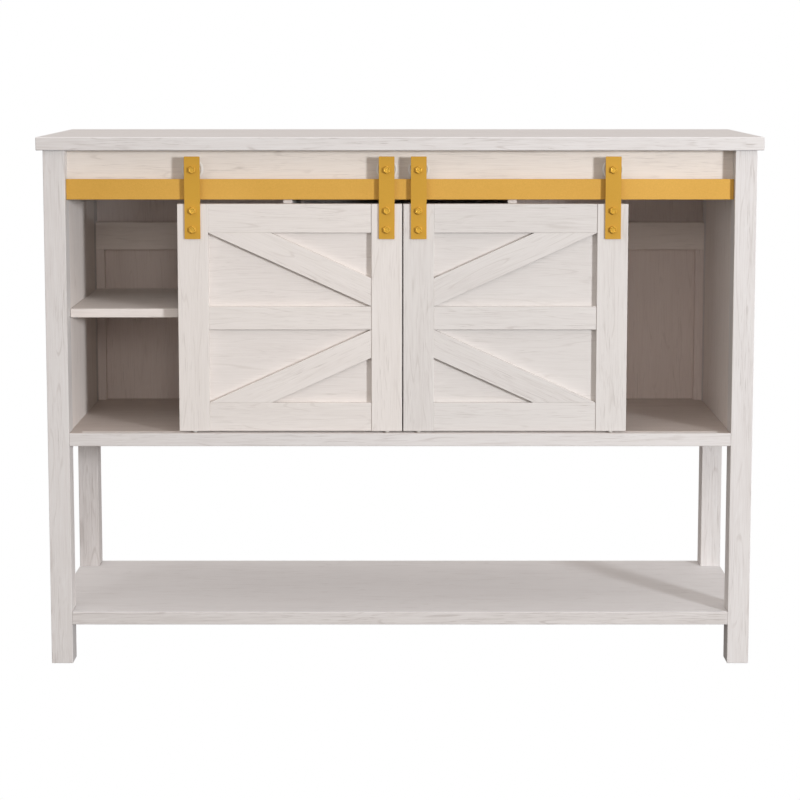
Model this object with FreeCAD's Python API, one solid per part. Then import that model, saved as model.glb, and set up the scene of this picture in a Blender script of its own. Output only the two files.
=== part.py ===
import FreeCAD, Part
import math
import os

# Sideboard buffet: four legs, a boxed cabinet of three bays, an open bay with a shelf below it,
# and two sliding barn doors that roll on one flat track.
# Millimetres. +Z is up and the front faces -Y. The origin is on the ground under the middle of the top.

V = FreeCAD.Vector
ALONG_X, ALONG_Y, ALONG_Z = V(1, 0, 0), V(0, 1, 0), V(0, 0, 1)
ORIGIN = V(0, 0, 0)
SIDES = {"left": -1, "right": 1}
ENDS = {"front": -1, "back": 1}

# ------------------------------------------------------------------ overall
WIDTH = 1200.0              # over the top panel
DEPTH = 400.0               # over the top panel
HEIGHT = 890.0              # ground to the top surface

# ------------------------------------------------------------------ boards
BOARD = 22.0                # top panel, cabinet floor and bottom shelf
THIN_BOARD = 15.0           # side panels, dividers, fascia, inner shelf, stretcher and battens
BACK_BOARD = 3.0            # back panel
TOP_OVERHANG = 10.0         # top panel past the legs, all round
LEG_WIDTH = 36.0
LEG_DEPTH = 42.0
FLOOR_TOP = 395.0           # cabinet floor's upper face above the ground
SHELF_TOP = 89.0            # bottom shelf's upper face above the ground
EDGE_EASE = 1.0             # rounding of the legs' and boards' exposed edges
FIT = 0.5                   # gap at each end of a piece that slips between two others

BAY_WIDTH = 359.4           # middle bay, between the dividers
FASCIA_HEIGHT = 80.0
FASCIA_SETBACK = 26.0       # fascia's and dividers' front face behind the legs' front face
BACK_SETBACK = 3.0          # back panel's outer face in front of the legs' back face
STRETCHER_HEIGHT = 50.0
STRETCHER_DROP = 146.0      # top panel's underside down to the stretcher
INNER_SHELF_TOP = 601.0     # above the ground
INNER_SHELF_SETBACK = 35.0  # its front edge behind the legs' front face
SHELF_PIN_RADIUS = 2.5
SHELF_PIN_LENGTH = 16.0     # half of it in the board
SHELF_PIN_FROM_LEG = 28.0

# ------------------------------------------------------------------ joinery
DOWEL_RADIUS = 4.0
DOWEL_LENGTH = 30.0
DOWEL_FROM_FACE = 15.0      # behind a leg's outer face, for the boards' ends
CAM_FROM_FACE = 30.0
CAM_BOLT_RADIUS = 3.0
CAM_BOLT_IN_LEG = 11.0
CAM_REACH = 30.0            # leg's inner face to the cam's centre
CAM_RADIUS = 7.5
CAM_DEPTH = 12.5
PANEL_DOWEL_INSET = 60.0    # side panels' dowels from the floor and from the top panel
DIVIDER_DOWEL_INSET = 100.0
NAIL_RADIUS = 1.0
NAIL_HEAD_RADIUS = 2.5
NAIL_HEAD = 0.8
NAIL_LENGTH = 12.0
NAIL_PITCH = 110.0          # longest distance between two nails of a row

# ------------------------------------------------------------------ track
TRACK_HEIGHT = 34.0
TRACK_THICKNESS = 5.0
TRACK_DROP = 48.0           # top panel's underside down to the track's upper edge
TRACK_GAP = 10.5            # between the track and the fascia
TRACK_FIXINGS = 5
TRACK_END_FIXING = 50.0     # outermost fixings from the legs
SPACER_RADIUS = 8.0
TRACK_SCREW_RADIUS = 2.5
TRACK_SCREW_BITE = 4.0      # into the track, which it doesn't pass
SCREW_HEAD_RADIUS = 4.5
SCREW_HEAD = 3.0

# ------------------------------------------------------------------ doors
DOOR_WIDTH = 373.0
DOOR_THICKNESS = 18.0
DOOR_TOP_GAP = 7.0          # below the track
DOOR_FLOOR_GAP = 3.0
DOOR_MEETING_GAP = 2.0
DOOR_MEETING_X = 4.5        # where the doors meet at rest
STILE = 51.0
TOP_RAIL = 48.0
BOTTOM_RAIL = 48.0
MIDDLE_RAIL = 39.0
BRACE = 43.0
PANEL = 5.0
PANEL_RECESS = 10.5         # panel behind the stiles' faces
RAIL_SETBACK = 1.5          # rails' and braces' faces behind the stiles' faces
PANEL_GROOVE = 6.0          # how far the panel sits in the frame

# ------------------------------------------------------------------ hangers
STRAP_WIDTH = 26.0
STRAP_THICKNESS = 3.0
STRAP_BELOW_DOOR_TOP = 58.0
STRAP_ABOVE_AXLE = 22.0
STRAP_CORNER = 1.0
STRAP_SCREW_DROPS = (11.0, 42.5)    # below the door's top
STRAP_SCREW_RADIUS = 2.5
STRAP_SCREW_BITE = 14.0             # into the stile
HEX_HEAD_FLATS = 11.0
HEX_HEAD = 4.5
ROLLER_RADIUS = 15.5                # where it rolls
FLANGE = 2.0                        # past the rolling radius
ROLLER_WIDTH = 11.0
ROLLER_SIDE_GAP = 0.3               # between a flange and the track
ROLLER_LIFT = 0.2                   # keeps the tread from cutting the track
END_GAP = 0.25                      # roller to washer and to nut
AXLE_RADIUS = 4.0
AXLE_CLEARANCE = 0.05
AXLE_END = 0.7                      # past the nut
NUT_FLATS = 13.0
NUT = 5.0
WASHER_RADIUS = 8.0

# ------------------------------------------------------------------ floor guides
GUIDE_RADIUS = 3.0
GUIDE_FLANGE_RADIUS = 5.0
GUIDE_FLANGE = 1.5
GUIDE_IN_DOOR = 12.0
GUIDE_IN_GROOVE = 6.0
GROOVE_DEPTH = 8.0
GROOVE_WIDTH = 8.0
GROOVE_END = 20.0                   # from the legs

# ------------------------------------------------------------------ levels and planes that follow
under_top = HEIGHT - BOARD
leg_x_outer = WIDTH / 2 - TOP_OVERHANG
leg_x_inner = leg_x_outer - LEG_WIDTH
leg_y_outer = DEPTH / 2 - TOP_OVERHANG
leg_y_inner = leg_y_outer - LEG_DEPTH
divider_x = (BAY_WIDTH / 2, BAY_WIDTH / 2 + THIN_BOARD)
fascia_y = (FASCIA_SETBACK - leg_y_outer, FASCIA_SETBACK - leg_y_outer + THIN_BOARD)
back_y = (leg_y_outer - BACK_SETBACK - BACK_BOARD, leg_y_outer - BACK_SETBACK)
stretcher_y = (back_y[0] - THIN_BOARD, back_y[0])
stretcher_z = (under_top - STRETCHER_DROP - STRETCHER_HEIGHT, under_top - STRETCHER_DROP)
track_z = (under_top - TRACK_DROP - TRACK_HEIGHT, under_top - TRACK_DROP)
track_y = (fascia_y[0] - TRACK_GAP - TRACK_THICKNESS, fascia_y[0] - TRACK_GAP)
track_mid_y = sum(track_y) / 2
door_z = (FLOOR_TOP + DOOR_FLOOR_GAP, track_z[0] - DOOR_TOP_GAP)
door_front = track_mid_y - DOOR_THICKNESS / 2
door_y = (door_front, door_front + DOOR_THICKNESS)
rail_y = (door_front + RAIL_SETBACK, door_y[1])
panel_y = (door_front + PANEL_RECESS, door_front + PANEL_RECESS + PANEL)
strap_y = (door_front - STRAP_THICKNESS, door_front)
roller_y = (track_mid_y - ROLLER_WIDTH / 2, track_mid_y + ROLLER_WIDTH / 2)
axle_z = track_z[1] + ROLLER_LIFT + ROLLER_RADIUS
flange_radius = ROLLER_RADIUS + FLANGE
groove_z = (FLOOR_TOP - GROOVE_DEPTH, FLOOR_TOP)

nodes = {}


# ------------------------------------------------------------------ helpers
def block(x_span, y_span, z_span):
    """Box between the two values of each span, given in either order."""
    (x0, x1), (y0, y1), (z0, z1) = sorted(x_span), sorted(y_span), sorted(z_span)
    return Part.makeBox(x1 - x0, y1 - y0, z1 - z0, V(x0, y0, z0))


def rod(radius, centre, axis, length):
    """Round bar centred on a point."""
    middle = V(*centre)
    return Part.makeCylinder(radius, length, middle - axis * (length / 2), axis)


def rod_between(radius, x, z, y_span):
    """Round bar along Y from the first to the second value of a span."""
    return Part.makeCylinder(radius, y_span[1] - y_span[0], V(x, y_span[0], z), ALONG_Y)


def hexagon(flats, x, z, y_span):
    """Hexagonal bar along Y with two corners up and down."""
    reach = flats / math.sqrt(3)
    turns = [math.radians(30 + 60 * k) for k in range(7)]
    corners = [V(x + reach * math.cos(a), y_span[0], z + reach * math.sin(a)) for a in turns]
    return Part.Face(Part.makePolygon(corners)).extrude(ALONG_Y * (y_span[1] - y_span[0]))


def runs_along(edge, axis):
    """Whether an edge is straight and parallel to an axis."""
    if not isinstance(edge.Curve, Part.Line):
        return False
    return abs(abs(edge.tangentAt(edge.FirstParameter).dot(axis)) - 1) < 1e-6


def eased(shape, axis, planes=()):
    """Round the edges along an axis; planes, if given, are the Y values that such an edge must lie on."""
    edges = [e for e in shape.Edges if runs_along(e, axis)]
    if planes:
        edges = [e for e in edges if min(abs(e.CenterOfMass.y - y) for y in planes) < 1e-6]
    return shape.makeFillet(EDGE_EASE, edges)


def drill(names, pegs):
    """Cut from each named board the pegs that enter it."""
    for name in names:
        board = nodes[name]
        entering = [peg for peg in pegs if peg.BoundBox.intersect(board.BoundBox)]
        if entering:
            nodes[name] = board.cut(entering)


def row(start, end, pitch):
    """Evenly spaced values from start to end, no further apart than the pitch."""
    gaps = max(1, math.ceil((end - start) / pitch))
    return [start + (end - start) * k / gaps for k in range(gaps + 1)]


# ------------------------------------------------------------------ frame and boards
def add_legs():
    """Four legs, from the ground to the top panel."""
    for end, towards in ENDS.items():
        for side, sign in SIDES.items():
            leg = block((sign * leg_x_inner, sign * leg_x_outer),
                        (towards * leg_y_inner, towards * leg_y_outer), (0, under_top))
            nodes[f"{end}_{side}_leg"] = eased(leg, ALONG_Z)


def notched_board(z_span):
    """Board as large as the legs' outline, with a notch for each leg."""
    board = block((-leg_x_outer, leg_x_outer), (-leg_y_outer, leg_y_outer), z_span)
    notches = [
        block((x * leg_x_inner, x * leg_x_outer), (y * leg_y_inner, y * leg_y_outer), z_span)
        for x in SIDES.values()
        for y in ENDS.values()
    ]
    return eased(board.cut(notches), ALONG_X, (-leg_y_outer, leg_y_outer))


def add_horizontal_boards():
    """Top panel, cabinet floor with its guide groove, and bottom shelf."""
    top = block((-WIDTH / 2, WIDTH / 2), (-DEPTH / 2, DEPTH / 2), (under_top, HEIGHT))
    nodes["top_panel"] = top.makeFillet(EDGE_EASE, top.Edges)
    groove_reach = leg_x_inner - GROOVE_END
    groove = block((-groove_reach, groove_reach),
                   (track_mid_y - GROOVE_WIDTH / 2, track_mid_y + GROOVE_WIDTH / 2), groove_z)
    nodes["cabinet_floor"] = notched_board((FLOOR_TOP - BOARD, FLOOR_TOP)).cut(groove)
    nodes["bottom_shelf"] = notched_board((SHELF_TOP - BOARD, SHELF_TOP))


def add_upright_boards():
    """Side panels, dividers, fascia, stretcher, battens and the back panel."""
    cabinet_z = (FLOOR_TOP, under_top)
    fascia_z = (under_top - FASCIA_HEIGHT, under_top)
    fascia = block((-leg_x_inner, leg_x_inner), fascia_y, fascia_z)
    stretcher = block((-leg_x_inner, leg_x_inner), stretcher_y, stretcher_z)
    for side, sign in SIDES.items():
        inner, outer = sign * leg_x_inner, sign * (leg_x_inner + THIN_BOARD)
        nodes[f"{side}_side_panel"] = block((inner, outer), (-leg_y_inner, leg_y_inner), cabinet_z)
        divider = block([sign * x for x in divider_x], (fascia_y[0], back_y[0]), cabinet_z)
        nodes[f"{side}_divider"] = divider.cut([fascia, stretcher])
        nodes[f"{side}_back_batten"] = block((inner, inner - sign * THIN_BOARD), stretcher_y,
                                             (FLOOR_TOP, stretcher_z[0]))
    nodes["front_fascia"] = fascia
    nodes["rear_stretcher"] = stretcher
    nodes["back_panel"] = block((FIT - leg_x_inner, leg_x_inner - FIT), back_y, cabinet_z)


def add_inner_shelf():
    """Shelf of the left bay on four pins."""
    x_span = (-leg_x_inner, -divider_x[1])
    y_span = (INNER_SHELF_SETBACK - leg_y_outer, stretcher_y[0] - FIT)
    shelf = block((x_span[0] + FIT, x_span[1] - FIT), y_span, (INNER_SHELF_TOP - THIN_BOARD, INNER_SHELF_TOP))
    nodes["left_shelf"] = eased(shelf, ALONG_X, y_span)
    pin_z = INNER_SHELF_TOP - THIN_BOARD - SHELF_PIN_RADIUS
    pin_y = leg_y_inner - SHELF_PIN_FROM_LEG
    pins = [rod(SHELF_PIN_RADIUS, (x, y * pin_y, pin_z), ALONG_X, SHELF_PIN_LENGTH)
            for x in x_span for y in ENDS.values()]
    nodes["shelf_pins"] = Part.makeCompound(pins)
    drill(["left_side_panel", "left_divider"], pins)


# ------------------------------------------------------------------ joinery
def dowel_places():
    """Middle and direction of each dowel, which lies half in one board and half in the next."""
    side_x = leg_x_inner + THIN_BOARD / 2
    fascia_mid = (sum(fascia_y) / 2, under_top - FASCIA_HEIGHT / 2)
    stretcher_mid = (sum(stretcher_y) / 2, sum(stretcher_z) / 2)
    for x in SIDES.values():
        yield (x * leg_x_inner, *fascia_mid), ALONG_X
        yield (x * leg_x_inner, *stretcher_mid), ALONG_X
        for y in ENDS.values():
            leg_middle = (x * (leg_x_inner + leg_x_outer) / 2, y * (leg_y_inner + leg_y_outer) / 2)
            yield (*leg_middle, under_top), ALONG_Z
            for z in (FLOOR_TOP - BOARD / 2, SHELF_TOP - BOARD / 2):
                yield (x * leg_x_inner, y * (leg_y_outer - DOWEL_FROM_FACE), z), ALONG_X
            for z in (FLOOR_TOP + PANEL_DOWEL_INSET, under_top - PANEL_DOWEL_INSET):
                yield (x * side_x, y * leg_y_inner, z), ALONG_Y
            for z in (FLOOR_TOP, under_top):
                yield (x * sum(divider_x) / 2, y * DIVIDER_DOWEL_INSET, z), ALONG_Z


def add_joinery():
    """Dowels, cam bolts and cams between the boards, each in its own hole."""
    boards = [name for name in nodes if name != "shelf_pins"]
    dowels = [rod(DOWEL_RADIUS, place, axis, DOWEL_LENGTH) for place, axis in dowel_places()]
    bolts, cams = [], []
    for x in SIDES.values():
        for y in ENDS.values():
            for level in (FLOOR_TOP, SHELF_TOP):
                cam_x, cam_y = x * (leg_x_inner - CAM_REACH), y * (leg_y_outer - CAM_FROM_FACE)
                bolt_end = x * (leg_x_inner + CAM_BOLT_IN_LEG)
                bolt = rod(CAM_BOLT_RADIUS, ((cam_x + bolt_end) / 2, cam_y, level - BOARD / 2), ALONG_X,
                           abs(bolt_end - cam_x))
                cam = rod(CAM_RADIUS, (cam_x, cam_y, level - BOARD + CAM_DEPTH / 2), ALONG_Z, CAM_DEPTH)
                bolts.append(bolt)
                cams.append(cam)
    drill(boards, dowels + bolts + cams)
    nodes["wood_dowels"] = Part.makeCompound(dowels)
    nodes["cam_bolts"] = Part.makeCompound(bolts)
    nodes["cam_locks"] = Part.makeCompound([cam.cut(bolt) for cam, bolt in zip(cams, bolts)])


def add_nails():
    """Nails that hold the back panel to the battens, the dividers and the stretcher."""
    batten_x = leg_x_inner - THIN_BOARD / 2
    columns = [-batten_x, batten_x] + [sign * sum(divider_x) / 2 for sign in SIDES.values()]
    inset = STRETCHER_HEIGHT / 2
    places = [(x, z) for x in columns for z in row(FLOOR_TOP + inset, stretcher_z[0] - inset, NAIL_PITCH)]
    free = BAY_WIDTH / 2 - inset
    places += [(x, sum(stretcher_z) / 2) for x in row(-free, free, NAIL_PITCH)]
    nails = []
    for x, z in places:
        shank = rod_between(NAIL_RADIUS, x, z, (back_y[1] - NAIL_LENGTH, back_y[1]))
        head = rod_between(NAIL_HEAD_RADIUS, x, z, (back_y[1], back_y[1] + NAIL_HEAD))
        nails.append(shank.fuse(head))
    drill(["back_panel", "left_back_batten", "right_back_batten", "left_divider", "right_divider",
           "rear_stretcher"], nails)
    nodes["back_panel_nails"] = Part.makeCompound(nails)


# ------------------------------------------------------------------ track
def add_track():
    """Flat track held off the fascia by spacers, with screws from behind that stop inside it."""
    mid_z = sum(track_z) / 2
    reach = leg_x_inner - TRACK_END_FIXING
    places = [reach * (2 * k / (TRACK_FIXINGS - 1) - 1) for k in range(TRACK_FIXINGS)]
    screws, spacers = [], []
    for x in places:
        shank = rod_between(TRACK_SCREW_RADIUS, x, mid_z, (track_y[1] - TRACK_SCREW_BITE, fascia_y[1]))
        head = rod_between(SCREW_HEAD_RADIUS, x, mid_z, (fascia_y[1], fascia_y[1] + SCREW_HEAD))
        screws.append(shank.fuse(head))
        spacers.append(rod_between(SPACER_RADIUS, x, mid_z, (track_y[1], fascia_y[0])).cut(shank))
    nodes["track_rail"] = block((FIT - leg_x_inner, leg_x_inner - FIT), track_y, track_z)
    drill(["track_rail", "front_fascia"], screws)
    nodes["track_spacers"] = Part.makeCompound(spacers)
    nodes["track_screws"] = Part.makeCompound(screws)


# ------------------------------------------------------------------ doors, x from the meeting edge
def frame_pieces():
    """Stiles, rails, panel, middle rail and braces of one door."""
    opening_x = (STILE, DOOR_WIDTH - STILE)
    opening_z = (door_z[0] + BOTTOM_RAIL, door_z[1] - TOP_RAIL)
    middle_z = (sum(opening_z) / 2 - MIDDLE_RAIL / 2, sum(opening_z) / 2 + MIDDLE_RAIL / 2)
    overlay_y = (rail_y[0], panel_y[0])
    panel = block((opening_x[0] - PANEL_GROOVE, opening_x[1] + PANEL_GROOVE), panel_y,
                  (opening_z[0] - PANEL_GROOVE, opening_z[1] + PANEL_GROOVE))
    pieces = {
        "meeting_stile": eased(block((0, STILE), door_y, door_z), ALONG_Z).cut(panel),
        "outer_stile": eased(block((DOOR_WIDTH - STILE, DOOR_WIDTH), door_y, door_z), ALONG_Z).cut(panel),
        "top_rail": block(opening_x, rail_y, (opening_z[1], door_z[1])).cut(panel),
        "bottom_rail": block(opening_x, rail_y, (door_z[0], opening_z[0])).cut(panel),
        "middle_rail": block(opening_x, overlay_y, middle_z),
        "panel": panel,
        "upper_brace": brace(opening_x, overlay_y, opening_z[1], middle_z[1]),
        "lower_brace": brace(opening_x, overlay_y, opening_z[0], middle_z[0]),
    }
    return pieces


def brace(opening_x, y_span, rail_z, middle_z):
    """Flat brace from the opening's outer corner at a rail to the meeting stile beside the middle rail."""
    near, far = opening_x
    rise = rail_z - middle_z
    slope = rise / (far - near)
    height = math.copysign(BRACE * math.hypot(1, slope), rise)
    corners = [(near, middle_z), (near, middle_z + height), (far - height / slope, rail_z), (far, rail_z)]
    outline = [V(x, y_span[0], z) for x, z in corners + corners[:1]]
    return Part.Face(Part.makePolygon(outline)).extrude(ALONG_Y * (y_span[1] - y_span[0]))


def strap(x):
    """Flat hanger with rounded corners, from the door's face up past the axle."""
    foot, head = door_z[1] - STRAP_BELOW_DOOR_TOP, axle_z + STRAP_ABOVE_AXLE
    plate = block((x - STRAP_WIDTH / 2, x + STRAP_WIDTH / 2), strap_y, (foot, head))
    return plate.makeFillet(STRAP_CORNER, [e for e in plate.Edges if runs_along(e, ALONG_Y)])


def hanger_pieces(x):
    """Strap, roller, axle bolt, washer, nut and strap screws on the stile whose middle is at x."""
    washer_y = (strap_y[1], roller_y[0] - END_GAP)
    nut_y = (roller_y[1] + END_GAP, roller_y[1] + END_GAP + NUT)
    shank = rod_between(AXLE_RADIUS, x, axle_z, (strap_y[0], nut_y[1] + AXLE_END))
    axle = shank.fuse(hexagon(HEX_HEAD_FLATS, x, axle_z, (strap_y[0] - HEX_HEAD, strap_y[0])))
    groove_half = TRACK_THICKNESS / 2 + ROLLER_SIDE_GAP
    groove = rod_between(flange_radius, x, axle_z, (track_mid_y - groove_half, track_mid_y + groove_half))
    tread = rod_between(ROLLER_RADIUS, x, axle_z, roller_y)
    bore = rod_between(AXLE_RADIUS + AXLE_CLEARANCE, x, axle_z, roller_y)
    screws = []
    for drop in STRAP_SCREW_DROPS:
        z = door_z[1] - drop
        bite = rod_between(STRAP_SCREW_RADIUS, x, z, (strap_y[0], strap_y[1] + STRAP_SCREW_BITE))
        screws.append(bite.fuse(hexagon(HEX_HEAD_FLATS, x, z, (strap_y[0] - HEX_HEAD, strap_y[0]))))
    return {
        "strap": strap(x).cut([shank, *screws]),
        "roller": rod_between(flange_radius, x, axle_z, roller_y).cut(groove.cut(tread)).cut(bore),
        "axle": axle,
        "washer": rod_between(WASHER_RADIUS, x, axle_z, washer_y).cut(shank),
        "nut": hexagon(NUT_FLATS, x, axle_z, nut_y).cut(shank),
        "screws": screws,
    }


def guide_pin(x):
    """Plastic pin with a flange, under the stile whose middle is at x."""
    top, tip = door_z[0] + GUIDE_IN_DOOR, FLOOR_TOP - GUIDE_IN_GROOVE
    pin = rod(GUIDE_RADIUS, (x, track_mid_y, (top + tip) / 2), ALONG_Z, top - tip)
    flange = rod(GUIDE_FLANGE_RADIUS, (x, track_mid_y, door_z[0] - GUIDE_FLANGE / 2), ALONG_Z, GUIDE_FLANGE)
    return pin.fuse(flange)


def door_pieces():
    """All pieces of one door by name, with x counted from its meeting edge."""
    pieces = frame_pieces()
    stiles = {"meeting": STILE / 2, "outer": DOOR_WIDTH - STILE / 2}
    hangers = {place: hanger_pieces(x) for place, x in stiles.items()}
    guides = {place: guide_pin(x) for place, x in stiles.items()}
    for place, hanger in hangers.items():
        stile = f"{place}_stile"
        pieces[stile] = pieces[stile].cut([*hanger["screws"], guides[place]])
        pieces[f"{place}_strap"] = hanger["strap"]
        pieces[f"{place}_roller"] = hanger["roller"]
    for group, piece in {"axle_bolts": "axle", "axle_washers": "washer", "axle_nuts": "nut"}.items():
        pieces[group] = Part.makeCompound([hanger[piece] for hanger in hangers.values()])
    pieces["strap_screws"] = Part.makeCompound([s for hanger in hangers.values() for s in hanger["screws"]])
    pieces["guide_pins"] = Part.makeCompound(list(guides.values()))
    return pieces


def add_doors():
    """The right door in place, and its mirror image as the left one."""
    for name, piece in door_pieces().items():
        for side, sign in SIDES.items():
            shape = piece.copy() if sign > 0 else piece.mirror(ORIGIN, ALONG_X)
            shape.translate(V(DOOR_MEETING_X + sign * DOOR_MEETING_GAP / 2, 0, 0))
            nodes[f"{side}_door_{name}"] = shape


def main():
    """Build every piece and write one file for each."""
    add_legs()
    add_horizontal_boards()
    add_upright_boards()
    add_inner_shelf()
    add_joinery()
    add_nails()
    add_track()
    add_doors()
    os.makedirs("parts", exist_ok=True)
    for name, shape in nodes.items():
        shape.exportStep(f"parts/{name}.step")
    print(len(nodes), "sub-parts written")


main()
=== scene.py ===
"""Looks of a sideboard buffet with two sliding barn doors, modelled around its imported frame.

Metres, +Z up, the front faces -Y. Every visible board, metal part and fitting is a piece of its own.
The hidden joinery keeps the frame's own meshes and only gets a finish.
"""

from __future__ import annotations

import logging
import math
from collections.abc import Callable, Iterable, Sequence
from dataclasses import dataclass, field
from enum import Enum

import bmesh
import bpy
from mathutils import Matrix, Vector

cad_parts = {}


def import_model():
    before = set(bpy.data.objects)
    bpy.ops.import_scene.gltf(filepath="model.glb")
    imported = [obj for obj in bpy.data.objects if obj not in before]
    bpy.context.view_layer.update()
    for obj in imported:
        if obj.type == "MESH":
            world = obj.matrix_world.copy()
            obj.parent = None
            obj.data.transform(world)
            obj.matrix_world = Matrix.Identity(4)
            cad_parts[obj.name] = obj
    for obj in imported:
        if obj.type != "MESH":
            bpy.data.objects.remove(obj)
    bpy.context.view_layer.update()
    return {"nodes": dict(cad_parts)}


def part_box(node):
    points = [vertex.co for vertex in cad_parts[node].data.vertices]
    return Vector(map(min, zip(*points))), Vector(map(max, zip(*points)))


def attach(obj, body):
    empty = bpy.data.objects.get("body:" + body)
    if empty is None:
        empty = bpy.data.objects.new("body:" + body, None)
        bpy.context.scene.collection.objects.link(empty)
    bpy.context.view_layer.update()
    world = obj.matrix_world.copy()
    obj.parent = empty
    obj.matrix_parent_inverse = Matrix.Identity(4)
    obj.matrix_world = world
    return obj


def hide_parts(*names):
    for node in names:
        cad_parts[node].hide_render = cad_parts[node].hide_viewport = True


LOG = logging.getLogger("sideboard")

# Tolerance for parallel edges and for faces in one plane.
FLAT = 1e-4
# Least component of a normal along an axis, for a face that looks roughly or straight along it.
FACING = 0.7
STRAIGHT = 0.9
# Sharpest turn between two faces that are still shaded as one.
CREASE = math.radians(35)
# Part of its range that a noise fills most of the time.
NOISE_RANGE = (0.30, 0.70)
# Sides of a hexagonal head or nut.
HEXAGON = 6
# Sockets of a colour mix: its factor, its two colours and its result.
MIX_FACTOR, MIX_FIRST, MIX_SECOND, MIX_RESULT = 0, 6, 7, 2

Box = tuple[Vector, Vector]
Colour = tuple[float, float, float]
Range = tuple[float, float]
Socket = bpy.types.NodeSocket
Test = Callable[[Vector, Vector], bool]


class Axis(Enum):
    """A direction of the frame, with the turn that lays a round primitive along it."""

    X = (0, (0.0, math.pi / 2, 0.0))
    Y = (1, (math.pi / 2, 0.0, 0.0))
    Z = (2, (0.0, 0.0, 0.0))

    @property
    def index(self) -> int:
        """Place of this axis in a vector."""
        return self.value[0]

    @property
    def turn(self) -> tuple[float, float, float]:
        """Rotation that lays a primitive's own Z along this axis."""
        return self.value[1]


class Grain(Enum):
    """Way the grain runs, as the turn that brings it onto a pattern's X."""

    LENGTH = (0.0, 0.0, 0.0)
    DEPTH = (0.0, 0.0, -math.pi / 2)
    UPRIGHT = (0.0, math.pi / 2, 0.0)

    @property
    def across_ends(self) -> "Grain":
        """Grain of the foil strip on the ends of a board of this grain."""
        return Grain.DEPTH if self is Grain.LENGTH else Grain.LENGTH

    @property
    def axis(self) -> Axis:
        """Axis of the frame that the grain follows."""
        return {Grain.LENGTH: Axis.X, Grain.DEPTH: Axis.Y, Grain.UPRIGHT: Axis.Z}[self]


class Side(Enum):
    """A side of the sideboard as seen from the front."""

    LEFT = -1
    RIGHT = 1

    @property
    def word(self) -> str:
        """Name used in the frame's node names."""
        return self.name.lower()


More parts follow.
